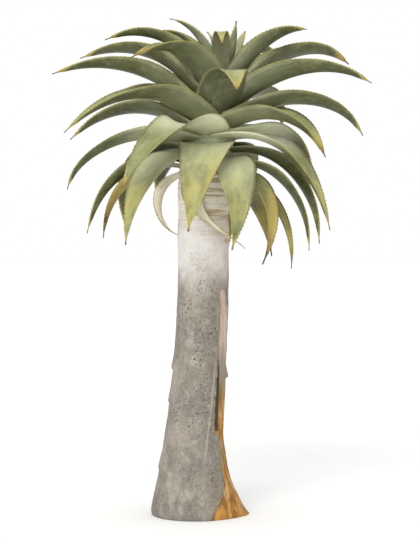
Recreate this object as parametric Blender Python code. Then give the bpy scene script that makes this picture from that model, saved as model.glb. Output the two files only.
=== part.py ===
"""A young single-stemmed tree aloe: a smooth trunk with a bottle foot and a rosette of arching leaves.

Metres, +Z up. The origin is the centre of the flat cut at ground level. The front is -Y, the right is +X.
The plant is modelled round an upright stem, and every point is then shifted sideways by the stem's lean.
"""

import math
from collections import namedtuple
from functools import partial

import bmesh
import bpy

# The trunk: its height to the growing tip and its radius above the foot, then how much wider the foot is at
# ground level, how high that widening reaches and how suddenly it fades
STEM_HEIGHT = 1.47
STEM_RADIUS = 0.081
FOOT_SPREAD = 0.066
FOOT_HEIGHT = 0.24
FOOT_FADE = 1.3
TRUNK_SIDES = 28
TRUNK_BANDS = 48
TRUNK_BAND_DRAW = 1.1
BARK_COLOUR = (0.60, 0.57, 0.52)
BARK_ROUGHNESS = 0.8

# Inside the crown the stem narrows to a dome that ends just above the growing tip
CROWN_FOOT = 1.09
DOME_TOP = 1.472
DOME_SHOULDER = 1.6
DOME_ROUNDING = 0.8

# The flare at ground level where a toe of bark runs out to the right
TOE_REACH = 0.022
TOE_HEIGHT = 0.045
TOE_AZIMUTH = 100
TOE_NARROWNESS = 3

# The stem's sideways lean: the foot stands left of the middle, the shaft and the crown swing to the right
FOOT_LEAN = -0.017
SHAFT_LEAN = 0.023
SHAFT_LEAN_HEIGHTS = (0.15, 0.80)
CROWN_LEAN = 0.070
CROWN_LEAN_HEIGHTS = (1.02, 1.58)

# The leaves sit on the stem in a spiral, each one a little above the one before, and clasp it with a broad
# base, a little clear of the trunk
FIRST_SEAT = 1.086
SEAT_STEP = 0.0075
SEAT_GAP = 0.0004
STEEPEST_SEAT = 0.8
SPIRAL_TURN = 137.5
FRONT_RANK = 26
CLASP = math.radians(66)

# The section of a leaf: an arc, nearly flat at the base, a channel further out, and thinner towards the
# blunt tip
BASE_FOLD = 2
FOLD_SHARE = 0.45
TIP_DRAW = 1.3
TIP_THINNING = 0.5
MARGIN_WIDTH = 0.012
BASE_THICKENING = 0.001
BASE_SHARE = 0.2
BLUNT_TIP = 0.004
LEAF_SIDES = 8
LEAF_BANDS = 14
LEAF_BAND_DRAW = 1.2
SPINE_STEPS = 120
LEAF_ROUGHNESS = 0.5

Kind = namedtuple("Kind", "name width thickness taper fold bend colour leaves")
Leaf = namedtuple("Leaf", "rank rise fall length sweep scale", defaults=(0, 1))

# Each leaf: its place in the spiral up the stem, its slope at the base and at the tip, its length, then how
# far its outer part swings sideways, and how broad it is beside its kind. Angles are in degrees.
KINDS = (
    Kind(
        "dry_leaf", 0.130, 0.006, 1.0, 60, 1.0, (0.72, 0.64, 0.48),
        (
            Leaf(1.6, -22, -164, 0.27, 22),
            Leaf(-3, -88, -64, 0.22, 110, 0.7),
        ),
    ),
    Kind(
        "withering_leaf", 0.160, 0.008, 1.8, 40, 0.8, (0.34, 0.30, 0.14),
        (
            Leaf(0.36, -6, -95, 0.40, 1, 0.92),
            Leaf(-1.6, -30, -95, 0.36),
            Leaf(2.85, 3, -107, 0.41, -14, 0.8),
            Leaf(3.45, -6, -92, 0.39, -10, 0.9),
            Leaf(4.3, 13, -88, 0.385, 4),
        ),
    ),
    Kind(
        "drooping_leaf", 0.210, 0.010, 1.7, 40, 0.75, (0.30, 0.34, 0.16),
        (
            Leaf(5.7, 11.8, -92, 0.435),
            Leaf(6.93, 18, -81, 0.425, 8, 0.92),
            Leaf(7.86, 12, -110, 0.41, -6, 0.9),
            Leaf(9, 14, -90, 0.43, 0, 0.95),
            Leaf(10, 9, -98, 0.425, -12, 0.95),
            Leaf(11, 13, -87, 0.485, 5),
            Leaf(12, 20, -90, 0.44, -8),
            Leaf(12.9, 15, -103, 0.405, -8, 0.96),
            Leaf(14, 8, -84, 0.45, 15, 0.85),
            Leaf(16, 16, -82, 0.51, 5),
        ),
    ),
    Kind(
        "spreading_leaf", 0.200, 0.010, 2.3, 50, 1.3, (0.27, 0.33, 0.18),
        (
            Leaf(15, 11, -67, 0.44, -26),
            Leaf(17, 7, -75, 0.44),
            Leaf(18, 20, -100, 0.42, -23),
            Leaf(19, 6, -56, 0.38, 0, 0.95),
            Leaf(20, 30, -50, 0.435, 2),
            Leaf(21.2, 19, -66, 0.39, 8),
            Leaf(22, 29, -60, 0.46, 0, 0.92),
            Leaf(23, 33, -58, 0.475, -16),
            Leaf(24, 26, -49, 0.48, 14),
            Leaf(25, 31, -8, 0.41, 8),
        ),
    ),
    Kind(
        "arching_leaf", 0.200, 0.010, 2.6, 58, 1.5, (0.24, 0.31, 0.19),
        (
            Leaf(27.04, 34, -70, 0.40, 0, 0.7),
            Leaf(27.91, 37.5, -24, 0.52, 10),
            Leaf(29.12, 35, -32, 0.475, 6),
            Leaf(30, 41, -40, 0.44, 0, 0.85),
            Leaf(32, 51, -33, 0.46, 6),
            Leaf(33, 43, -22, 0.51, 6),
            Leaf(35, 60, -52, 0.43, -10, 0.55),
            Leaf(36.17, 46.5, -36, 0.37, -8, 0.8),
            Leaf(37.06, 65, -16, 0.34, -24, 0.76),
            Leaf(38.25, 52, -22, 0.45, 4, 0.78),
        ),
    ),
    Kind(
        "nodding_leaf", 0.200, 0.010, 3.0, 8, 3.4, (0.24, 0.31, 0.19),
        (
            Leaf(26.03, 44, -128, 0.33, 8, 0.81),
            Leaf(39.02, 72, -130, 0.262, 8, 0.36),
        ),
    ),
    Kind(
        "heart_leaf", 0.100, 0.009, 2.2, 50, 2.4, (0.26, 0.33, 0.21),
        (
            Leaf(40.05, 74, 20, 0.21, 20, 0.7),
            Leaf(40.93, 59, 0, 0.255, -2),
            Leaf(42.05, 82, 66, 0.175, -16, 0.66),
            Leaf(43.75, 65, 6, 0.24, -10, 0.78),
            Leaf(45.9, 70, 46, 0.135, 10, 0.5),
        ),
    ),
)


def ease(value, low, high):
    """A smooth step from 0 at low to 1 at high."""
    x = min(1.0, max(0.0, (value - low) / (high - low)))
    return x * x * (3 - 2 * x)


def lean(z):
    """How far the stem's axis stands to the right at a height."""
    return FOOT_LEAN + SHAFT_LEAN * ease(z, *SHAFT_LEAN_HEIGHTS) + CROWN_LEAN * ease(z, *CROWN_LEAN_HEIGHTS)


def stem_radius(z):
    """The trunk's taper: a bottle foot, an even shaft, and a dome that narrows through the crown."""
    foot = FOOT_SPREAD * math.exp(-((max(z, 0) / FOOT_HEIGHT) ** FOOT_FADE))
    climb = max(0.0, (z - CROWN_FOOT) / (DOME_TOP - CROWN_FOOT))
    return (STEM_RADIUS + foot) * max(0.0, 1 - climb**DOME_SHOULDER) ** DOME_ROUNDING


def trunk_point(t, turn):
    """A point on the trunk's skin: bands are closer at the foot, where the outline bends most."""
    z = STEM_HEIGHT * t**TRUNK_BAND_DRAW
    toe = TOE_REACH * math.exp(-z / TOE_HEIGHT)
    toe *= max(0.0, math.cos(turn - math.radians(TOE_AZIMUTH - 90))) ** TOE_NARROWNESS
    r = stem_radius(z) + toe
    return r * math.cos(turn), r * math.sin(turn), z


def half_width(kind, leaf, t):
    """Half the blade's width at a share of its length: broad at the clasping base, with a blunt tip."""
    if t == 1:
        return 0.0
    return max(BLUNT_TIP, leaf.scale * kind.width / 2 * (1 - t**kind.taper) ** TIP_DRAW)


def spine(kind, leaf, seat, t):
    """The midrib in its upright plane at a share of its length: distance from the axis, height, slope."""
    steps = max(1, round(t * SPINE_STEPS))
    stride = leaf.length * t / steps
    r, z = stem_radius(seat), seat
    for k in range(steps):
        share = t * (k + 0.5) / steps
        slope = math.radians(leaf.rise + (leaf.fall - leaf.rise) * share**kind.bend)
        r += math.cos(slope) * stride
        z += math.sin(slope) * stride
    return r, z, math.radians(leaf.rise + (leaf.fall - leaf.rise) * t**kind.bend)


def heading(leaf, t):
    """The way a leaf points at a share of its length, in degrees: 0 to the front and 90 to the right."""
    return SPIRAL_TURN * (leaf.rank - FRONT_RANK) + leaf.sweep * t**2


def leaf_point(kind, leaf, seat, band, turn):
    """A point on the skin: bands run from base to tip, closer at the tip; turn runs round the section."""
    t = 1 - (1 - band) ** LEAF_BAND_DRAW
    r, z, slope = spine(kind, leaf, seat, t)
    half = half_width(kind, leaf, t)
    # The section is an arc, open to the sky, and it wraps the stem where the leaf clasps it
    across = 1 - 2 * abs(turn) / math.pi
    fold = math.radians(BASE_FOLD + kind.fold * ease(t, 0, FOLD_SHARE))
    clasp = min(CLASP, half / r)
    wrap = math.sin(across * fold) / fold * clasp
    rise = half * (1 - math.cos(across * fold)) / fold
    thick = kind.thickness * (1 - TIP_THINNING * t) + BASE_THICKENING * (1 - ease(t, 0, BASE_SHARE))
    thick *= (1 - across**2) * min(1, half / MARGIN_WIDTH)
    if t == 0:
        # The seat is cut along the stem, so a steep leaf's seat is taller than the leaf is thick
        thick /= max(STEEPEST_SEAT, math.cos(slope)) ** 2
    if math.sin(turn) < 0:
        rise -= thick
    up = z + rise * math.cos(slope)
    reach = r - rise * math.sin(slope)
    # Nothing comes nearer the stem than a small gap, and the straight sides of the section keep that gap too
    clear = stem_radius(up) / math.cos(2 * clasp / LEAF_SIDES) + SEAT_GAP
    reach = clear if t == 0 else max(reach, clear)
    swing = math.radians(heading(leaf, t)) + wrap
    return reach * math.sin(swing), -reach * math.cos(swing), up


def leaf_rows():
    """Every leaf with its name, its kind and the height of its seat, from the lowest up."""
    rows = []
    for kind in KINDS:
        for count, leaf in enumerate(kind.leaves, start=1):
            rows.append((f"{kind.name}_{count:02d}", kind, leaf, FIRST_SEAT + SEAT_STEP * leaf.rank))
    return sorted(rows, key=lambda row: row[3])


def tube(name, sides, bands, place, colour, roughness):
    """A closed body: a capped tube with even bands, whose points a function of (t, turn) puts in place."""
    bm = bmesh.new()
    bmesh.ops.create_cone(bm, cap_ends=True, segments=sides, radius1=1, radius2=1, depth=1)
    upright = [e for e in bm.edges if abs(e.verts[0].co.z - e.verts[1].co.z) > 0.5]
    bmesh.ops.subdivide_edges(bm, edges=upright, cuts=bands - 1, use_grid_fill=True)
    # The bottom cap is cut into strips from side to side, so that it can follow a curved seat
    bottom = [v for v in bm.verts if v.co.z < -0.49]
    for vert in [v for v in bottom if v.co.y > 1e-3]:
        facing = min(bottom, key=lambda v: (v.co.x - vert.co.x) ** 2 + (v.co.y + vert.co.y) ** 2)
        bmesh.ops.connect_verts(bm, verts=[vert, facing])
    for vert in bm.verts:
        band = round((vert.co.z + 0.5) * bands)
        x, y, z = place(band / bands, math.atan2(vert.co.y, vert.co.x))
        vert.co = x + lean(z), y, z
    bmesh.ops.remove_doubles(bm, verts=bm.verts, dist=1e-6)
    bmesh.ops.recalc_face_normals(bm, faces=bm.faces)
    if bm.calc_volume(signed=True) < 0:
        bmesh.ops.reverse_faces(bm, faces=bm.faces)
    mesh = bpy.data.meshes.new(name)
    bm.to_mesh(mesh)
    bm.free()
    mesh.shade_smooth()
    material = bpy.data.materials.new(name)
    material.use_nodes = True
    shader = material.node_tree.nodes["Principled BSDF"]
    shader.inputs["Base Color"].default_value = (*colour, 1)
    shader.inputs["Roughness"].default_value = roughness
    shader.inputs["Metallic"].default_value = 0
    mesh.materials.append(material)
    bpy.context.scene.collection.objects.link(bpy.data.objects.new(name, mesh))


def build():
    for obj in list(bpy.data.objects):
        bpy.data.objects.remove(obj)
    tube("trunk", TRUNK_SIDES, TRUNK_BANDS, trunk_point, BARK_COLOUR, BARK_ROUGHNESS)
    for name, kind, leaf, seat in leaf_rows():
        place = partial(leaf_point, kind, leaf, seat)
        tube(name, LEAF_SIDES, LEAF_BANDS, place, kind.colour, LEAF_ROUGHNESS)


build()
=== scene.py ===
import math
from collections import namedtuple

import bmesh
import bpy
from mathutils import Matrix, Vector, noise


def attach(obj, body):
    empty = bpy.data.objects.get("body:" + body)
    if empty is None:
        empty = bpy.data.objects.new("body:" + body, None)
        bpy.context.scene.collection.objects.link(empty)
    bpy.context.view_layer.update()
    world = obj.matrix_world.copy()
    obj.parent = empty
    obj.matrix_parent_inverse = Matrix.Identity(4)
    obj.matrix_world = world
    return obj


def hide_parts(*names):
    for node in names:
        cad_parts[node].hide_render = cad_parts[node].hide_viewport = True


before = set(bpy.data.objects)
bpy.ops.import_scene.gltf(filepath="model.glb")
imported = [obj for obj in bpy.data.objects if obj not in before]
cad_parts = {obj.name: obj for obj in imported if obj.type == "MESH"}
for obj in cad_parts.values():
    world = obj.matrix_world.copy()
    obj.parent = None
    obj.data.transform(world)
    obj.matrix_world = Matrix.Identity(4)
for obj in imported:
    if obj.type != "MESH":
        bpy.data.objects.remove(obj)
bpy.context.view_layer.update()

# THE TRUNK
# One soft, watery stem under a thin papery bark, grown as a smooth column with a bottle foot. It is pale and
# ringed with leaf scars under the crown, clouded and pitted grey below, and split right of the middle, where
# the bark peels back from golden inner bark.
STEM_HEIGHT = 1.47
STEM_RADIUS = 0.081
FOOT_SPREAD = 0.066
FOOT_HEIGHT = 0.24
FOOT_FADE = 1.3
CROWN_FOOT = 1.09
DOME_TOP = 1.472
DOME_SHOULDER = 1.6
DOME_ROUNDING = 0.8
TOE_REACH = 0.022
TOE_HEIGHT = 0.045
TOE_AZIMUTH = 100
TOE_NARROWNESS = 3
FOOT_LEAN = -0.017
SHAFT_LEAN = 0.023
SHAFT_LEAN_HEIGHTS = (0.15, 0.80)
CROWN_LEAN = 0.070
CROWN_LEAN_HEIGHTS = (1.02, 1.58)
TRUNK_SIDES = 160
TRUNK_BANDS = 600

# Where the bark is split: the torn edge as (height, azimuth), with 0 to the front and 90 to the right, up the
# left side of the bare strip, then the far side, which is out of sight
TORN_EDGE = (
    (0.0, 19), (0.03, 27), (0.064, 37), (0.096, 43), (0.128, 48), (0.176, 50), (0.21, 50.5), (0.25, 49.5),
    (0.262, 44), (0.272, 38), (0.30, 36.5), (0.35, 37), (0.40, 39.5), (0.53, 43.5), (0.62, 42), (0.70, 40),
)
FAR_EDGE = ((0.0, 128), (0.12, 118), (0.3, 112), (0.5, 106), (0.70, 98))
STRIP_TOP = 0.715
BARK_THICKNESS = 0.0035
LIP_RISE = 0.0025
LIP_WIDTH = 4
# A fold in the bark with a groove beside it: the fold's line, its heights, and both their sizes
CREASE = ((0.17, 13), (0.25, 20), (0.35, 28), (0.52, 36))
CREASE_HEIGHTS = (0.17, 0.21, 0.45, 0.53)
CREASE_RISE = 0.0025
CREASE_WIDTH = 1.5
GROOVE_DEPTH = 0.002
GROOVE_ASIDE = 4
GROOVE_WIDTH = 1.8
# The dark gap beside the torn edge, its darkness painted shade: its heights, its least width and how much
# wider its foot is, in degrees, and how deep it goes
GAP_HEIGHTS = (0.268, 0.285, 0.42, 0.60)
GAP_LEAST = 3
GAP_WIDTH = 13
GAP_DEPTH = 0.009
# The foot is drawn in on the side where the bark is gone: azimuth, heights and depth
HOLLOW_AZIMUTH = 92
HOLLOW_HEIGHTS = (0.03, 0.12, 0.24, 0.42)
HOLLOW_DEPTH = 0.014
# A flake of the bare foot curls out to a point at the ground
FLAKE_REACH = 0.013
FLAKE_HEIGHT = 0.012
FLAKE_NARROWNESS = 9
# Inside the crown the stem is wrapped in the pale sheaths of the leaves, which stand out a little
SHEATH_FOOT = 1.14
SHEATH_THICKNESS = 0.011
# The edge of the flat cut is rounded off
ROUNDING_HEIGHT = 0.02
ROUNDING = 0.006
# The rings of leaf scars: how far apart, how deep, and where they begin and are full
RING_PITCH = 0.0102
RING_DEPTH = 0.0008
RING_HEIGHTS = (0.86, 0.96)
# The swells and dents of the bark: how high the broad and the fine ones stand, and how close they lie
SWELL_HEIGHT = 0.0022
SWELL_FINENESS = 14
DENT_HEIGHT = 0.0009
DENT_FINENESS = 45
# Inside the crown the relief fades into the sheaths, and the sheaths end under the growing tip
RELIEF_FADE = (1.05, 1.10)
SHEATH_START = 0.008
SHEATH_FADE = (1.30, 1.40)
# The top of the bare strip is frayed, and slants down past an azimuth of 55 degrees
FRAY_HEIGHT = 0.05
FRAY_FINENESS = 22
FRAY_SLANT = 0.0018
SLANT_FROM = 55
# Small ledges where a layer of bark ends: height, azimuth, how far it stands out
LEDGES = ((0.470, -86, 0.005), (0.365, -84, 0.004), (0.152, -80, 0.004), (0.442, 92, 0.009))
LEDGE_WIDTH = 13
LEDGE_RUN = 0.05
# Clusters of pits: height, azimuth, and how wide the cluster is, in metres
PIT_CLUSTERS = (
    (0.81, -14, 0.03), (0.735, 8, 0.035), (0.62, 24, 0.05), (0.575, 26, 0.04), (0.515, -6, 0.03),
    (0.44, 20, 0.06), (0.315, 12, 0.06), (0.13, 34, 0.045), (0.66, -50, 0.06), (0.35, -70, 0.06),
    (0.55, 150, 0.08), (0.30, 200, 0.08), (0.70, 230, 0.07),
)


def ease(value, low, high):
    """A smooth step from 0 at low to 1 at high."""
    x = min(1.0, max(0.0, (value - low) / (high - low)))
    return x * x * (3 - 2 * x)


def between(line, height):
    """The azimuth of a line on the trunk at a height, read off its (height, azimuth) corners."""
    if height <= line[0][0]:
        return line[0][1]
    for (z0, a0), (z1, a1) in zip(line, line[1:]):
        if height <= z1:
            return a0 + (a1 - a0) * (height - z0) / (z1 - z0)
    return line[-1][1]


def lean(z):
    """How far the stem's axis stands to the right at a height."""
    return FOOT_LEAN + SHAFT_LEAN * ease(z, *SHAFT_LEAN_HEIGHTS) + CROWN_LEAN * ease(z, *CROWN_LEAN_HEIGHTS)


def stem_radius(z):
    """The trunk's taper: a bottle foot, an even shaft, and a dome that narrows through the crown."""
    foot = FOOT_SPREAD * math.exp(-((max(z, 0) / FOOT_HEIGHT) ** FOOT_FADE))
    climb = max(0.0, (z - CROWN_FOOT) / (DOME_TOP - CROWN_FOOT))
    return (STEM_RADIUS + foot) * max(0.0, 1 - climb**DOME_SHOULDER) ** DOME_ROUNDING


def capped_tube(sides, bands):
    """A capped tube standing from z -0.5 to 0.5 with even bands, its lower cap cut into strips."""
    bm = bmesh.new()
    bmesh.ops.create_cone(bm, cap_ends=True, segments=sides, radius1=1, radius2=1, depth=1)
    upright = [e for e in bm.edges if abs(e.verts[0].co.z - e.verts[1].co.z) > 0.5]
    bmesh.ops.subdivide_edges(bm, edges=upright, cuts=bands - 1, use_grid_fill=True)
    bottom = [v for v in bm.verts if v.co.z < -0.49999]
    for vert in [v for v in bottom if v.co.y > 1e-3]:
        facing = min(bottom, key=lambda v: (v.co.x - vert.co.x) ** 2 + (v.co.y + vert.co.y) ** 2)
        bmesh.ops.connect_verts(bm, verts=[vert, facing])
    return bm


def hand_over(bm, name, node, material):
    """Makes the finished mesh an object that stands for its node of the solid model."""
    bmesh.ops.remove_doubles(bm, verts=bm.verts, dist=1e-6)
    bmesh.ops.recalc_face_normals(bm, faces=bm.faces)
    if bm.calc_volume(signed=True) < 0:
        bmesh.ops.reverse_faces(bm, faces=bm.faces)
    mesh = bpy.data.meshes.new(name)
    bm.to_mesh(mesh)
    bm.free()
    mesh.shade_smooth()
    mesh.materials.append(material)
    piece = bpy.data.objects.new(name, mesh)
    bpy.context.scene.collection.objects.link(piece)
    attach(piece, "root")
    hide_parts(node)


def add_node(tree, kind, inputs=(), **settings):
    """One shader node: its settings, then its inputs by name or number, as values or others' outputs."""
    made = tree.nodes.new("ShaderNode" + kind)
    for name, value in settings.items():
        setattr(made, name, value)
    for key, value in dict(inputs).items():
        if isinstance(value, bpy.types.NodeSocket):
            tree.links.new(value, made.inputs[key])
        else:
            made.inputs[key].default_value = value
    return made


def blend(tree, share, first, second, how="MIX"):
    """Two colours mixed by a share from 0 to 1."""
    colours = {6: first, 7: second}
    for key, value in colours.items():
        if not isinstance(value, bpy.types.NodeSocket):
            colours[key] = (*value, 1)
    return add_node(tree, "Mix", {0: share, **colours}, data_type="RGBA", blend_type=how).outputs[2]


def reckon(tree, how, first, second=0.0):
    """A sum on one or two values."""
    return add_node(tree, "Math", {0: first, 1: second}, operation=how).outputs[0]


def step_of(tree, value, low, high, to=(0.0, 1.0)):
    """A smooth step of a value from low to high."""
    inputs = {"Value": value, "From Min": low, "From Max": high, "To Min": to[0], "To Max": to[1]}
    return add_node(tree, "MapRange", inputs, interpolation_type="SMOOTHSTEP").outputs["Result"]


def cloud(tree, where, stretch, scale=1.0, detail=2.0, shift=(0, 0, 0), grit=0.5):
    """A soft noise pattern, stretched by a factor along each axis, finer and harder with more grit."""
    placed = add_node(tree, "Mapping", {"Vector": where, "Scale": stretch, "Location": shift})
    inputs = {"Vector": placed.outputs[0], "Scale": scale, "Detail": detail, "Roughness": grit}
    return add_node(tree, "TexNoise", inputs).outputs["Fac"]


def attribute(tree, name, output="Fac"):
    return add_node(tree, "Attribute", attribute_name=name).outputs[output]


def new_material(name):
    """A material with its surface shader, both empty of colour."""
    material = bpy.data.materials.new(name)
    material.use_nodes = True
    return material, material.node_tree, material.node_tree.nodes["Principled BSDF"]


MARKS = ("bare", "gap", "scar", "pits", "sheath", "crease")


def bark_relief(z, azimuth):
    """The bark's relief: how far it stands out, and the shares of each mark on it, in the order of MARKS."""
    around = math.radians(azimuth)
    spot = Vector((math.sin(around), -math.cos(around), 0)) * STEM_RADIUS + Vector((0, 0, z))
    waver = noise.noise(spot * 60) * 1.2
    fade = 1 - ease(z, *RELIEF_FADE)
    sheath = ease(z, SHEATH_FOOT, SHEATH_FOOT + SHEATH_START)
    out = SWELL_HEIGHT * noise.noise(spot * SWELL_FINENESS)
    out += DENT_HEIGHT * noise.noise(spot * DENT_FINENESS + Vector((7, 0, 0)))
    # Leaf scars ring the upper trunk, and fade where the bark has weathered
    ring_height = z + 0.004 * noise.noise(Vector((spot.x * 9, spot.y * 9, z * 16)))
    scar = (1 - abs(2 * ((ring_height / RING_PITCH) % 1) - 1)) ** 3
    scar *= ease(noise.noise(Vector((spot.x * 16, spot.y * 16, z * 40 + 9))), -0.35, 0.25)
    scar *= 0.1 + 0.9 * ease(z, *RING_HEIGHTS)
    out -= RING_DEPTH * scar
    torn = between(TORN_EDGE, z) + waver
    far = between(FAR_EDGE, z) - waver
    bare = ease(azimuth, torn - 0.8, torn + 0.8) * (1 - ease(azimuth, far - 1, far + 1))
    frayed = z + FRAY_HEIGHT * noise.noise(spot * FRAY_FINENESS) + FRAY_SLANT * max(0.0, azimuth - SLANT_FROM)
    bare *= 1 - ease(frayed, STRIP_TOP - 0.012, STRIP_TOP)
    edge_rise = math.exp(-(((azimuth - torn + 2) / LIP_WIDTH) ** 2))
    edge_rise += math.exp(-(((azimuth - far - 2) / LIP_WIDTH) ** 2))
    out += LIP_RISE * edge_rise * (1 - bare) * (1 - ease(z, STRIP_TOP - 0.04, STRIP_TOP + 0.02))
    out -= BARK_THICKNESS * bare
    low, full, fading, high = GAP_HEIGHTS
    wide = GAP_LEAST + GAP_WIDTH * (1 - ease(z, fading - 0.08, high))
    gap = bare * (1 - ease(azimuth, torn + 0.7 * wide, torn + wide))
    gap = gap * ease(z, low, full) * (1 - ease(z, fading, high))
    out -= GAP_DEPTH * gap
    low, full, fading, high = HOLLOW_HEIGHTS
    side = max(0.0, math.cos(math.radians(azimuth - HOLLOW_AZIMUTH))) ** 2
    out -= HOLLOW_DEPTH * side * ease(z, low, full) * (1 - ease(z, fading, high))
    line = between(CREASE, z)
    low, full, fading, high = CREASE_HEIGHTS
    along_crease = ease(z, low, full) * (1 - ease(z, fading, high))
    crease = along_crease * math.exp(-(((azimuth - line) / CREASE_WIDTH) ** 2))
    out += CREASE_RISE * crease
    out -= GROOVE_DEPTH * along_crease * math.exp(-(((azimuth - line - GROOVE_ASIDE) / GROOVE_WIDTH) ** 2))
    for height, where, reach in LEDGES:
        below = ease(z, height - 0.006, height)
        above = 1 - ease(z, height, height + LEDGE_RUN)
        out += reach * below * above * math.exp(-(((azimuth - where) / LEDGE_WIDTH) ** 2))
    if z < ROUNDING_HEIGHT:
        out -= ROUNDING * (1 - z / ROUNDING_HEIGHT) ** 2
    pits = 0.0
    for height, where, spread in PIT_CLUSTERS:
        aside = math.radians((azimuth - where + 180) % 360 - 180) * STEM_RADIUS
        pits += math.exp(-(((z - height) ** 2 + aside**2) / spread**2))
    # The lower edges of the sheaths run round the stem aslant, one above another
    lap = (z * 30 + azimuth / 137.5 + 0.3 * noise.noise(spot * 20)) % 1
    out = out * fade + SHEATH_THICKNESS * sheath * (0.55 + 0.45 * lap) * (1 - ease(z, *SHEATH_FADE))
    return out, bare, gap, scar * (1 - sheath), min(1.0, pits) * (1 - sheath), sheath, crease


bark, tree, shader = new_material("bark")
where = add_node(tree, "TexCoord").outputs["Object"]
axes = add_node(tree, "SeparateXYZ", {0: where}).outputs
height = axes["Z"]
patches = cloud(tree, where, (1, 1, 0.8), 9, 8, grit=0.62)
mottle = cloud(tree, where, (1, 1, 0.7), 42, 6, (3, 0, 0), 0.65)
grain = cloud(tree, where, (1, 1, 1), 320, 3)
# Grey, clouded old bark: dark and light patches, each with finer flecks of the other
weathered = blend(tree, step_of(tree, patches, 0.40, 0.60), (0.175, 0.155, 0.128), (0.275, 0.245, 0.20))
weathered = blend(tree, step_of(tree, mottle, 0.50, 0.66, (0.0, 0.5)), weathered, (0.36, 0.325, 0.27))
weathered = blend(tree, step_of(tree, mottle, 0.46, 0.34, (0.0, 0.5)), weathered, (0.12, 0.105, 0.085))
# Painted shade: on the right side of the trunk, away from the lamp, the light patches are darkened
shade = reckon(tree, "MULTIPLY", step_of(tree, axes["X"], -0.02, 0.045), step_of(tree, patches, 0.42, 0.60))
shade = reckon(tree, "MULTIPLY", shade, 0.8)
weathered = blend(tree, shade, weathered, (0.58, 0.55, 0.50), "MULTIPLY")
speckle = cloud(tree, where, (1, 1, 1), 130, 4, (0, 6, 0), 0.7)
dark_flecks = step_of(tree, speckle, 0.47, 0.34, (0.0, 0.45))
weathered = blend(tree, dark_flecks, weathered, (0.55, 0.53, 0.49), "MULTIPLY")
weathered = blend(tree, step_of(tree, speckle, 0.54, 0.66, (0.0, 0.35)), weathered, (0.40, 0.37, 0.32))
# Young bark towards the crown: nearly white, ringed with fine scars, warmer and smeared with tan to the right
ragged = reckon(tree, "ADD", height, reckon(tree, "MULTIPLY", patches, 0.22))
young = step_of(tree, ragged, 0.80, 1.0)
pale = blend(tree, step_of(tree, mottle, 0.3, 0.7), (0.60, 0.565, 0.515), (0.71, 0.685, 0.66))
right = step_of(tree, axes["X"], 0.0, 0.07)
# Painted shade with a warmer tone: the pale bark is darkened towards the right side, away from the lamp
pale = blend(tree, reckon(tree, "MULTIPLY", right, 0.4), pale, (0.60, 0.50, 0.40))
bands = cloud(tree, where, (5, 5, 85), 1, 4, grit=0.65)
smeared = reckon(tree, "MULTIPLY", step_of(tree, bands, 0.49, 0.60), step_of(tree, height, 0.86, 0.96))
smeared = reckon(tree, "MULTIPLY", smeared, step_of(tree, axes["X"], -0.045, 0.035, (0.25, 0.85)))
# Painted light: the top of the stem, which the crown shades, is lightened still further, on bark that is
# really near white
pale = blend(tree, step_of(tree, height, 0.92, 1.0), pale, (0.86, 0.80, 0.68))
pale = blend(tree, smeared, pale, (0.42, 0.29, 0.13))
stained = cloud(tree, where, (16, 16, 26), 1, 3, (2, 0, 4))
stained = reckon(tree, "MULTIPLY", step_of(tree, stained, 0.60, 0.68, (0.0, 0.8)), right)
pale = blend(tree, stained, pale, (0.50, 0.34, 0.20))
scar = attribute(tree, "scar")
pale = blend(tree, reckon(tree, "MULTIPLY", scar, 0.45), pale, (0.45, 0.38, 0.27))
outer = blend(tree, young, weathered, pale)
for size, shift in ((105.0, 0.0), (62.0, 1.7), (160.0, 4.1)):
    placed = add_node(tree, "Mapping", {"Vector": where, "Location": (shift, 0, 0)}).outputs[0]
    dots = add_node(tree, "TexVoronoi", {"Vector": placed, "Scale": size, "Randomness": 1.0}, feature="F1")
    pit = step_of(tree, dots.outputs["Distance"], 0.28, 0.17)
    pit = reckon(tree, "MULTIPLY", pit, attribute(tree, "pits"))
    pit = reckon(tree, "MULTIPLY", pit, step_of(tree, mottle, 0.40, 0.52))
    outer = blend(tree, reckon(tree, "MULTIPLY", pit, 0.85), outer, (0.05, 0.042, 0.035))
fibres = cloud(tree, where, (70, 70, 7), 1, 3)
beige = blend(tree, step_of(tree, fibres, 0.35, 0.65), (0.36, 0.25, 0.18), (0.52, 0.41, 0.34))
gold = blend(tree, step_of(tree, fibres, 0.38, 0.62), (0.22, 0.10, 0.014), (0.45, 0.225, 0.045))
flaky = cloud(tree, where, (34, 34, 20), 1, 6, (5, 0, 0), 0.65)
gold = blend(tree, step_of(tree, flaky, 0.52, 0.62, (0.0, 0.65)), gold, (0.48, 0.36, 0.21))
gold = blend(tree, step_of(tree, flaky, 0.44, 0.36, (0.0, 0.7)), gold, (0.20, 0.12, 0.05))
strands = reckon(tree, "MULTIPLY", reckon(tree, "SUBTRACT", fibres, 0.5), 0.22)
uneven = reckon(tree, "ADD", height, strands)
beige = blend(tree, step_of(tree, uneven, 0.56, 0.48), beige, (0.25, 0.205, 0.15))
inner = blend(tree, step_of(tree, uneven, 0.34, 0.43), gold, beige)
colour = blend(tree, attribute(tree, "bare"), outer, inner)
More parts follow.
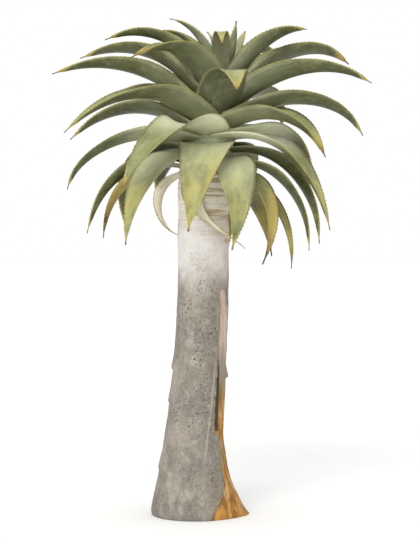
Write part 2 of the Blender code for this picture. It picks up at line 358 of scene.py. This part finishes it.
# Painted shade: the gap beside the torn edge is coloured near black, as the shadow inside it
painted_gap_shade = step_of(tree, attribute(tree, "gap"), 0.1, 0.6, (0.0, 0.95))
colour = blend(tree, painted_gap_shade, colour, (0.06, 0.046, 0.022))
colour = blend(tree, reckon(tree, "MULTIPLY", attribute(tree, "crease"), 0.7), colour, (0.42, 0.38, 0.31))
sheath = blend(tree, step_of(tree, mottle, 0.35, 0.65), (0.44, 0.46, 0.30), (0.54, 0.56, 0.40))
colour = blend(tree, attribute(tree, "sheath"), colour, sheath)
colour = blend(tree, 0.25, colour, add_node(tree, "ValToRGB", {0: grain}).outputs[0], "SOFT_LIGHT")
tree.links.new(colour, shader.inputs["Base Color"])
shader.inputs["Roughness"].default_value = 0.75
shader.inputs["Specular IOR Level"].default_value = 0.3
relief = reckon(tree, "ADD", mottle, reckon(tree, "MULTIPLY", grain, 0.4))
bump = add_node(tree, "Bump", {"Height": relief, "Strength": 0.35, "Distance": 0.002})
tree.links.new(bump.outputs[0], shader.inputs["Normal"])

bm = capped_tube(TRUNK_SIDES, TRUNK_BANDS)
marks = {name: bm.verts.layers.float.new(name) for name in MARKS}
for vert in bm.verts:
    z = STEM_HEIGHT * round((vert.co.z + 0.5) * TRUNK_BANDS) / TRUNK_BANDS
    azimuth = (math.degrees(math.atan2(vert.co.x, -vert.co.y)) + 90) % 360 - 90
    out, *shares = bark_relief(z, azimuth)
    for name, share in zip(marks, shares):
        vert[marks[name]] = share
    toe = max(0.0, math.cos(math.radians(azimuth - TOE_AZIMUTH)))
    r = stem_radius(z) + TOE_REACH * math.exp(-z / TOE_HEIGHT) * toe**TOE_NARROWNESS
    r = max(r + out + FLAKE_REACH * math.exp(-z / FLAKE_HEIGHT) * toe**FLAKE_NARROWNESS, 0.0)
    around = math.radians(azimuth)
    vert.co = r * math.sin(around) + lean(z), -r * math.cos(around), z
hand_over(bm, "trunk_and_bark", "trunk", bark)

# THE LEAVES
# Every leaf is one thick, watery blade in a tough waxy skin, channelled above, with small horny teeth along
# both margins. Its broad base clasps the stem, and the leaves follow one another up it in a spiral.
FIRST_SEAT = 1.086
SEAT_STEP = 0.0075
SEAT_GAP = 0.0004
STEEPEST_SEAT = 0.8
SPIRAL_TURN = 137.5
FRONT_RANK = 26
CLASP = math.radians(66)
BASE_FOLD = 2
FOLD_SHARE = 0.45
TIP_DRAW = 1.3
TIP_THINNING = 0.5
MARGIN_WIDTH = 0.012
BASE_THICKENING = 0.001
BASE_SHARE = 0.2
LEAF_SIDES = 24
LEAF_BANDS = 160
CLASP_SIDES = 8
TOOTH_PITCH = 0.012
TOOTH_HEIGHT = 0.0034
BLUNT_TIP = 0.0035
TIP_CAP = 0.985
# The share of the leaf that has teeth, and how far along it the bloom of the base fades, in metres
TOOTHED = (0.06, 0.95)
BLOOM_FADE = (0.09, 0.27)
# A leaf dries back from its tip along this many times its share of dryness
DRYING_RUN = 1.6

Kind = namedtuple("Kind", "name width thickness taper fold bend")
LEAF_VALUES = "rank rise fall length sweep scale dry old bloom"
Leaf = namedtuple("Leaf", LEAF_VALUES, defaults=(0, 1, 0.08, 0.1, 0.15))
Section = namedtuple("Section", "t r z slope half fold thick clasp aim along")


def sections(kind, leaf, seat):
    """The leaf's cross-sections from base to tip: where the midrib is, and how wide, deep and thick it is."""
    r, z = stem_radius(seat), seat
    stride = leaf.length / LEAF_BANDS
    made = []
    for band in range(LEAF_BANDS + 1):
        t = band / LEAF_BANDS
        slope = math.radians(leaf.rise + (leaf.fall - leaf.rise) * t**kind.bend)
        half = leaf.scale * kind.width / 2 * max(0.0, 1 - t**kind.taper) ** TIP_DRAW
        if t > 0.5:
            cap = math.sqrt(max(0.0, 1 - (max(0.0, t - TIP_CAP) / (1 - TIP_CAP)) ** 2))
            half = max(half, BLUNT_TIP * cap)
        fold = math.radians(BASE_FOLD + kind.fold * ease(t, 0, FOLD_SHARE))
        thick = kind.thickness * (1 - TIP_THINNING * t) + BASE_THICKENING * (1 - ease(t, 0, BASE_SHARE))
        thick *= min(1, half / MARGIN_WIDTH)
        if t == 0:
            thick /= max(STEEPEST_SEAT, math.cos(slope)) ** 2
        aim = math.radians(SPIRAL_TURN * (leaf.rank - FRONT_RANK) + leaf.sweep * t**2)
        made.append(Section(t, r, z, slope, half, fold, thick, min(CLASP, half / r), aim, leaf.length * t))
        middle = math.radians(leaf.rise + (leaf.fall - leaf.rise) * ((band + 0.5) / LEAF_BANDS) ** kind.bend)
        r += math.cos(middle) * stride
        z += math.sin(middle) * stride
    return made


def blade_point(cut, across, under, tooth):
    """A point on the leaf's skin at a share of its width, on its upper or under side."""
    half = cut.half + tooth
    wrap = math.sin(across * cut.fold) / cut.fold * cut.clasp * half / max(cut.half, 1e-6)
    rise = half * (1 - math.cos(across * cut.fold)) / cut.fold
    if under:
        rise -= cut.thick * (1 - across**2)
    up = cut.z + rise * math.cos(cut.slope)
    reach = cut.r - rise * math.sin(cut.slope)
    clear = stem_radius(up) / math.cos(2 * cut.clasp / CLASP_SIDES) + SEAT_GAP
    reach = clear if cut.t == 0 else max(reach, clear)
    swing = cut.aim + wrap
    return reach * math.sin(swing) + lean(up), -reach * math.cos(swing), up


def grow(kind, leaf, count, material):
    """One leaf: a fine capped tube placed section by section, with its own marks of age for the material."""
    name = f"{kind.name}_{count:02d}"
    cuts = sections(kind, leaf, FIRST_SEAT + SEAT_STEP * leaf.rank)
    bm = capped_tube(LEAF_SIDES, LEAF_BANDS)
    blade = bm.verts.layers.float_vector.new("blade")
    marks = {mark: bm.verts.layers.float.new(mark) for mark in ("under", "margin", "dry", "old", "bloom")}
    for vert in bm.verts:
        cut = cuts[round((vert.co.z + 0.5) * LEAF_BANDS)]
        turn = math.atan2(vert.co.y, vert.co.x)
        across = 1 - 2 * abs(turn) / math.pi
        under = turn < -1e-4 and abs(across) < 0.999
        tooth = 0.0
        if abs(across) > 0.999 and TOOTHED[0] < cut.t < TOOTHED[1]:
            tooth = TOOTH_HEIGHT * ((cut.along / TOOTH_PITCH) % 1) * min(1, cut.half / 0.01)
        vert[blade] = (across * cut.half, cut.along, leaf.rank)
        vert[marks["under"]] = 0.5 if abs(across) > 0.999 else float(under)
        vert[marks["margin"]] = cut.half * (1 - abs(across))
        vert[marks["dry"]] = ease(cut.t, 1 - DRYING_RUN * leaf.dry, 1)
        vert[marks["old"]] = leaf.old * (0.35 + 0.65 * ease(cut.t, 0.1, 0.7))
        vert[marks["bloom"]] = leaf.bloom * (1 - ease(cut.along, *BLOOM_FADE))
        vert.co = blade_point(cut, across, under, tooth)
    hand_over(bm, name + "_blade", name, material)


# The skin that all leaves share: dull green above and darker below, the undersides darkened further towards
# their outer end as painted shade, with long faint veins, a pale powdery bloom at the base, yellow patches
# with age, a horny yellow margin, and a tip that dries to brown
skin = bpy.data.node_groups.new("leaf_skin", "ShaderNodeTree")
defaults = {"Upper": (0.22, 0.23, 0.12, 1), "Under": (0.13, 0.14, 0.07, 1), "Ochre": (0.36, 0.28, 0.08, 1)}
for label, default in defaults.items():
    skin.interface.new_socket(label, in_out="INPUT", socket_type="NodeSocketColor").default_value = default
skin.interface.new_socket("Colour", in_out="OUTPUT", socket_type="NodeSocketColor")
skin.interface.new_socket("Roughness", in_out="OUTPUT", socket_type="NodeSocketFloat")
skin.interface.new_socket("Height", in_out="OUTPUT", socket_type="NodeSocketFloat")
given = skin.nodes.new("NodeGroupInput").outputs
blade = attribute(skin, "blade", "Vector")
under = attribute(skin, "under")
margin = attribute(skin, "margin")
dry = attribute(skin, "dry")
old = attribute(skin, "old")
broad = cloud(skin, blade, (14, 9, 3), 1, 5, grit=0.6)
fine = cloud(skin, blade, (55, 30, 5), 1, 5, grit=0.6)
veins = cloud(skin, blade, (330, 9, 7), 1, 2)
along = add_node(skin, "SeparateXYZ", {0: blade}).outputs["Y"]
# Painted shade: the undersides are darkened from near the base out towards the outer part of the leaf
below = blend(skin, step_of(skin, along, 0.05, 0.40), given["Under"], (0.78, 0.78, 0.68), "MULTIPLY")
face = blend(skin, under, given["Upper"], below)
face = blend(skin, step_of(skin, broad, 0.35, 0.65, (0.8, 0.0)), face, (0.50, 0.53, 0.44), "MULTIPLY")
face = blend(skin, step_of(skin, fine, 0.48, 0.72, (0.0, 0.18)), face, (0.44, 0.46, 0.30))
face = blend(skin, step_of(skin, fine, 0.46, 0.30, (0.0, 0.5)), face, (0.55, 0.58, 0.46), "MULTIPLY")
face = blend(skin, step_of(skin, veins, 0.4, 0.7, (0.0, 0.16)), face, (0.08, 0.10, 0.04))
patch = reckon(skin, "ADD", old, reckon(skin, "MULTIPLY", reckon(skin, "SUBTRACT", broad, 0.5), 1.6))
face = blend(skin, step_of(skin, patch, 0.25, 0.75, (0.0, 0.8)), face, given["Ochre"])
powder = blend(skin, broad, (0.66, 0.68, 0.46), (0.86, 0.88, 0.65))
face = blend(skin, attribute(skin, "bloom"), face, powder)
ragged = reckon(skin, "ADD", dry, reckon(skin, "MULTIPLY", reckon(skin, "SUBTRACT", fine, 0.5), 0.35))
rim = reckon(skin, "ADD", 0.0032, reckon(skin, "MULTIPLY", ragged, 0.008))
line = step_of(skin, reckon(skin, "SUBTRACT", rim, margin), 0.0, 0.0018, (0.0, 0.8))
face = blend(skin, line, face, (0.42, 0.36, 0.095))
face = blend(skin, step_of(skin, ragged, 0.10, 0.60, (0.0, 0.85)), face, (0.37, 0.30, 0.085))
face = blend(skin, step_of(skin, ragged, 0.62, 0.90, (0.0, 0.85)), face, (0.27, 0.165, 0.05))
face = blend(skin, step_of(skin, ragged, 0.88, 0.99, (0.0, 0.9)), face, (0.045, 0.03, 0.017))
leaving = skin.nodes.new("NodeGroupOutput")
skin.links.new(face, leaving.inputs["Colour"])
skin.links.new(step_of(skin, dry, 0.0, 0.6, (0.48, 0.75)), leaving.inputs["Roughness"])
skin.links.new(reckon(skin, "ADD", fine, reckon(skin, "MULTIPLY", veins, 0.5)), leaving.inputs["Height"])


def leaf_material(name, upper, under, ochre):
    """A leaf's material: the shared skin in this kind's colours."""
    material, tree, shader = new_material(name)
    inputs = {"Upper": (*upper, 1), "Under": (*under, 1), "Ochre": (*ochre, 1)}
    group = tree.nodes.new("ShaderNodeGroup")
    group.node_tree = skin
    for key, value in inputs.items():
        group.inputs[key].default_value = value
    tree.links.new(group.outputs["Colour"], shader.inputs["Base Color"])
    tree.links.new(group.outputs["Roughness"], shader.inputs["Roughness"])
    bump = add_node(tree, "Bump", {"Height": group.outputs["Height"], "Strength": 0.25, "Distance": 0.001})
    tree.links.new(bump.outputs[0], shader.inputs["Normal"])
    shader.inputs["Specular IOR Level"].default_value = 0.35
    return material


# DRY LEAVES
# The two oldest leaves, dried to pale parchment and curled. They hang on at the foot of the crown, clasping
# the trunk with their papery bases.
kind = Kind("dry_leaf", 0.130, 0.006, 1.0, 60, 1.0)
material = leaf_material("dry_leaf", (1.0, 0.90, 0.74), (1.0, 0.90, 0.75), (0.85, 0.68, 0.44))
for count, leaf in enumerate((
    Leaf(1.6, -22, -164, 0.27, 22, dry=0.02, old=0.05, bloom=0),
    Leaf(-3, -88, -64, 0.22, 110, 0.7, dry=0.02, old=0.05, bloom=0),
), start=1):
    grow(kind, leaf, count, material)

# WITHERING LEAVES
# The lowest green leaves, thin with age and drying from the tip: yellow, ochre and brown, and limp enough to
# hang straight down. They clasp the stem below the drooping leaves.
kind = Kind("withering_leaf", 0.160, 0.008, 1.8, 40, 0.8)
material = leaf_material("withering_leaf", (0.26, 0.24, 0.08), (0.15, 0.14, 0.045), (0.36, 0.26, 0.06))
for count, leaf in enumerate((
    Leaf(0.36, -6, -95, 0.40, 1, 0.92, dry=0.3, old=0.3),
    Leaf(-1.6, -30, -95, 0.36, dry=0.4, old=0.6),
    Leaf(2.85, 3, -107, 0.41, -14, 0.8, dry=0.42, old=0.6),
    Leaf(3.45, -6, -92, 0.39, -10, 0.9, dry=0.3, old=0.5),
    Leaf(4.3, 13, -88, 0.385, 4, dry=0.68, old=0.6),
), start=1):
    grow(kind, leaf, count, material)

# DROOPING LEAVES
# Full-grown leaves that have sunk below the level under their own weight: broad, channelled, with yellow
# patches. They clasp the stem above the withering ones.
kind = Kind("drooping_leaf", 0.210, 0.010, 1.7, 40, 0.75)
material = leaf_material("drooping_leaf", (0.30, 0.305, 0.135), (0.155, 0.16, 0.06), (0.40, 0.34, 0.085))
for count, leaf in enumerate((
    Leaf(5.7, 11.8, -92, 0.435, old=0.25),
    Leaf(6.93, 18, -81, 0.425, 8, 0.92, old=0.25),
    Leaf(7.86, 12, -110, 0.41, -6, 0.9, old=0.45, bloom=0.35),
    Leaf(9, 14, -90, 0.43, 0, 0.95, old=0.3),
    Leaf(10, 9, -98, 0.425, -12, 0.95, old=0.4, bloom=0.5),
    Leaf(11, 13, -87, 0.485, 5, old=0.25),
    Leaf(12, 20, -90, 0.44, -8, old=0.3),
    Leaf(12.9, 15, -103, 0.405, -8, 0.96, old=0.5, bloom=0.3),
    Leaf(14, 8, -84, 0.45, 15, 0.85, old=0.2),
    Leaf(16, 16, -82, 0.51, 5, old=0.35, bloom=1),
), start=1):
    grow(kind, leaf, count, material)

# SPREADING LEAVES
# Leaves in their prime, standing out level from the stem and arching down at the end. They clasp the stem in
# the middle of the crown.
kind = Kind("spreading_leaf", 0.200, 0.010, 2.3, 50, 1.3)
material = leaf_material("spreading_leaf", (0.30, 0.31, 0.135), (0.122, 0.128, 0.048), (0.39, 0.345, 0.09))
for count, leaf in enumerate((
    Leaf(15, 11, -67, 0.44, -26, bloom=0.5),
    Leaf(17, 7, -75, 0.44),
    Leaf(18, 20, -100, 0.42, -23, old=0.35, bloom=1),
    Leaf(19, 6, -56, 0.38, 0, 0.95, bloom=1),
    Leaf(20, 30, -50, 0.435, 2),
    Leaf(21.2, 19, -66, 0.39, 8, dry=0.2),
    Leaf(22, 29, -60, 0.46, 0, 0.92),
    Leaf(23, 33, -58, 0.475, -16),
    Leaf(24, 26, -49, 0.48, 14),
    Leaf(25, 31, -8, 0.41, 8),
), start=1):
    grow(kind, leaf, count, material)

# ARCHING LEAVES
# Younger leaves that rise from the stem and arch over, so that their undersides show from the ground. They
# clasp the stem near its top.
kind = Kind("arching_leaf", 0.200, 0.010, 2.6, 58, 1.5)
material = leaf_material("arching_leaf", (0.26, 0.275, 0.12), (0.132, 0.139, 0.055), (0.36, 0.32, 0.085))
for count, leaf in enumerate((
    Leaf(27.04, 34, -70, 0.40, 0, 0.7),
    Leaf(27.91, 37.5, -24, 0.52, 10),
    Leaf(29.12, 35, -32, 0.475, 6),
    Leaf(30, 41, -40, 0.44, 0, 0.85),
    Leaf(32, 51, -33, 0.46, 6, dry=0.15),
    Leaf(33, 43, -22, 0.51, 6),
    Leaf(35, 60, -52, 0.43, -10, 0.55, dry=0.15),
    Leaf(36.17, 46.5, -36, 0.37, -8, 0.8, dry=0.15),
    Leaf(37.06, 65, -16, 0.34, -24, 0.76),
    Leaf(38.25, 52, -22, 0.45, 4, 0.78),
), start=1):
    grow(kind, leaf, count, material)

# NODDING LEAVES
# Two leaves that stand up in front of the crown and bend over at the end, so that the dried tip hangs down
# over the leaf's own back. They clasp the stem at the front.
kind = Kind("nodding_leaf", 0.200, 0.010, 3.0, 8, 3.4)
material = leaf_material("nodding_leaf", (0.32, 0.325, 0.15), (0.088, 0.093, 0.036), (0.36, 0.32, 0.085))
for count, leaf in enumerate((
    Leaf(26.03, 44, -128, 0.33, 8, 0.81, dry=0.12, bloom=0.08),
    Leaf(39.02, 72, -130, 0.262, 8, 0.36, dry=0.12),
), start=1):
    grow(kind, leaf, count, material)

# HEART LEAVES
# The youngest leaves, short, narrow and nearly upright, still closing round the growing tip of the stem.
kind = Kind("heart_leaf", 0.100, 0.009, 2.2, 50, 2.4)
material = leaf_material("heart_leaf", (0.22, 0.24, 0.11), (0.085, 0.095, 0.042), (0.34, 0.30, 0.08))
for count, leaf in enumerate((
    Leaf(40.05, 74, 20, 0.21, 20, 0.7, dry=0.2),
    Leaf(40.93, 59, 0, 0.255, -2),
    Leaf(42.05, 82, 66, 0.175, -16, 0.66),
    Leaf(43.75, 65, 6, 0.24, -10, 0.78),
    Leaf(45.9, 70, 46, 0.135, 10, 0.5),
), start=1):
    grow(kind, leaf, count, material)

# THE STAGE
# A plain pale floor, a white surround, and one broad, soft sun from the upper left in front, with the camera
# where the photographer stood, a little above the middle of the trunk.
bm = bmesh.new()
bmesh.ops.create_grid(bm, x_segments=1, y_segments=1, size=30)
mesh = bpy.data.meshes.new("floor")
bm.to_mesh(mesh)
bm.free()
floor_material, tree, shader = new_material("floor")
dust = cloud(tree, add_node(tree, "TexCoord").outputs["Object"], (1, 1, 1), 3, 3)
tree.links.new(blend(tree, dust, (0.80, 0.80, 0.79), (0.84, 0.84, 0.83)), shader.inputs["Base Color"])
shader.inputs["Roughness"].default_value = 0.9
mesh.materials.append(floor_material)
floor = bpy.data.objects.new("floor", mesh)
floor.location.z = -0.0005
bpy.context.scene.collection.objects.link(floor)

world = bpy.data.worlds.new("surround")
world.use_nodes = True
world.node_tree.nodes["Background"].inputs["Color"].default_value = (1, 1, 1, 1)
world.node_tree.nodes["Background"].inputs["Strength"].default_value = 1.0
bpy.context.scene.world = world

lamp_data = bpy.data.lights.new("key_lamp", "SUN")
lamp_data.angle = math.radians(35)
lamp_data.energy = 2.0
lamp = bpy.data.objects.new("key_lamp", lamp_data)
lamp.rotation_euler = Vector((1.0, 3.6, -2.4)).to_track_quat("-Z", "Y").to_euler()
bpy.context.scene.collection.objects.link(lamp)

CAMERA_AT = Vector((0.0272, -5.5, 0.95))
CAMERA_AIM = Vector((0.0272, 0.0, 0.784))
camera_data = bpy.data.cameras.new("camera")
camera_data.sensor_width = 36
camera_data.lens = 114.6
camera = bpy.data.objects.new("camera", camera_data)
camera.location = CAMERA_AT
camera.rotation_euler = (CAMERA_AIM - CAMERA_AT).to_track_quat("-Z", "Y").to_euler()
bpy.context.scene.collection.objects.link(camera)
bpy.context.scene.camera = camera
bpy.context.scene.view_settings.view_transform = "Standard"
